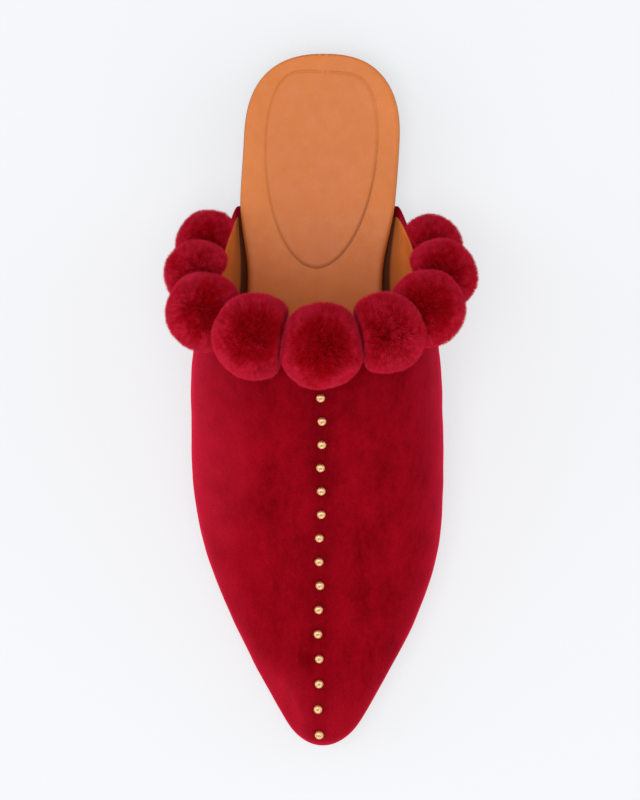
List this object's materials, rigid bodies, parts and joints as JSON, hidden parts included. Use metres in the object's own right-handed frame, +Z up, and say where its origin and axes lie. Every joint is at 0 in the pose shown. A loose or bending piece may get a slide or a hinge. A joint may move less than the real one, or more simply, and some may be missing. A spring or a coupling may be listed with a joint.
{
  "type": "mule shoe",
  "caption": "Flat backless mule with a pointed toe, a smooth velvet upper, pompoms round its collar, studs down the vamp and a tan leather insole, for the right foot.",
  "frame": {"origin": "middle of the shoe's length and width, on the floor it stands on", "axes": "+Y from toe to heel, +X to the inner side of the foot, +Z up"},
  "size_m": [0.1142, 0.256, 0.0968],
  "materials": {
    "velvet": "crimson velvet, short nap",
    "pompom": "deep crimson pile",
    "insole_leather": "smooth tan leather",
    "sole_leather": "brown sole leather",
    "brass": "polished pale brass"
  },
  "bodies": {
    "root": {"outsole": "sole_leather", "insole": "insole_leather", "upper": "velvet", "pompom_rear_outer": "pompom", "pompom_side_outer": "pompom", "pompom_flank_outer": "pompom", "pompom_front_outer": "pompom", "pompom_throat": "pompom", "pompom_front_inner": "pompom", "pompom_flank_inner": "pompom", "pompom_side_inner": "pompom", "pompom_rear_inner": "pompom", "stud_01": "brass", "stud_02": "brass", "stud_03": "brass", "stud_04": "brass", "stud_05": "brass", "stud_06": "brass", "stud_07": "brass", "stud_08": "brass", "stud_09": "brass", "stud_10": "brass", "stud_11": "brass", "stud_12": "brass", "stud_13": "brass", "stud_14": "brass", "stud_15": "brass"}
  },
  "joints": []
}
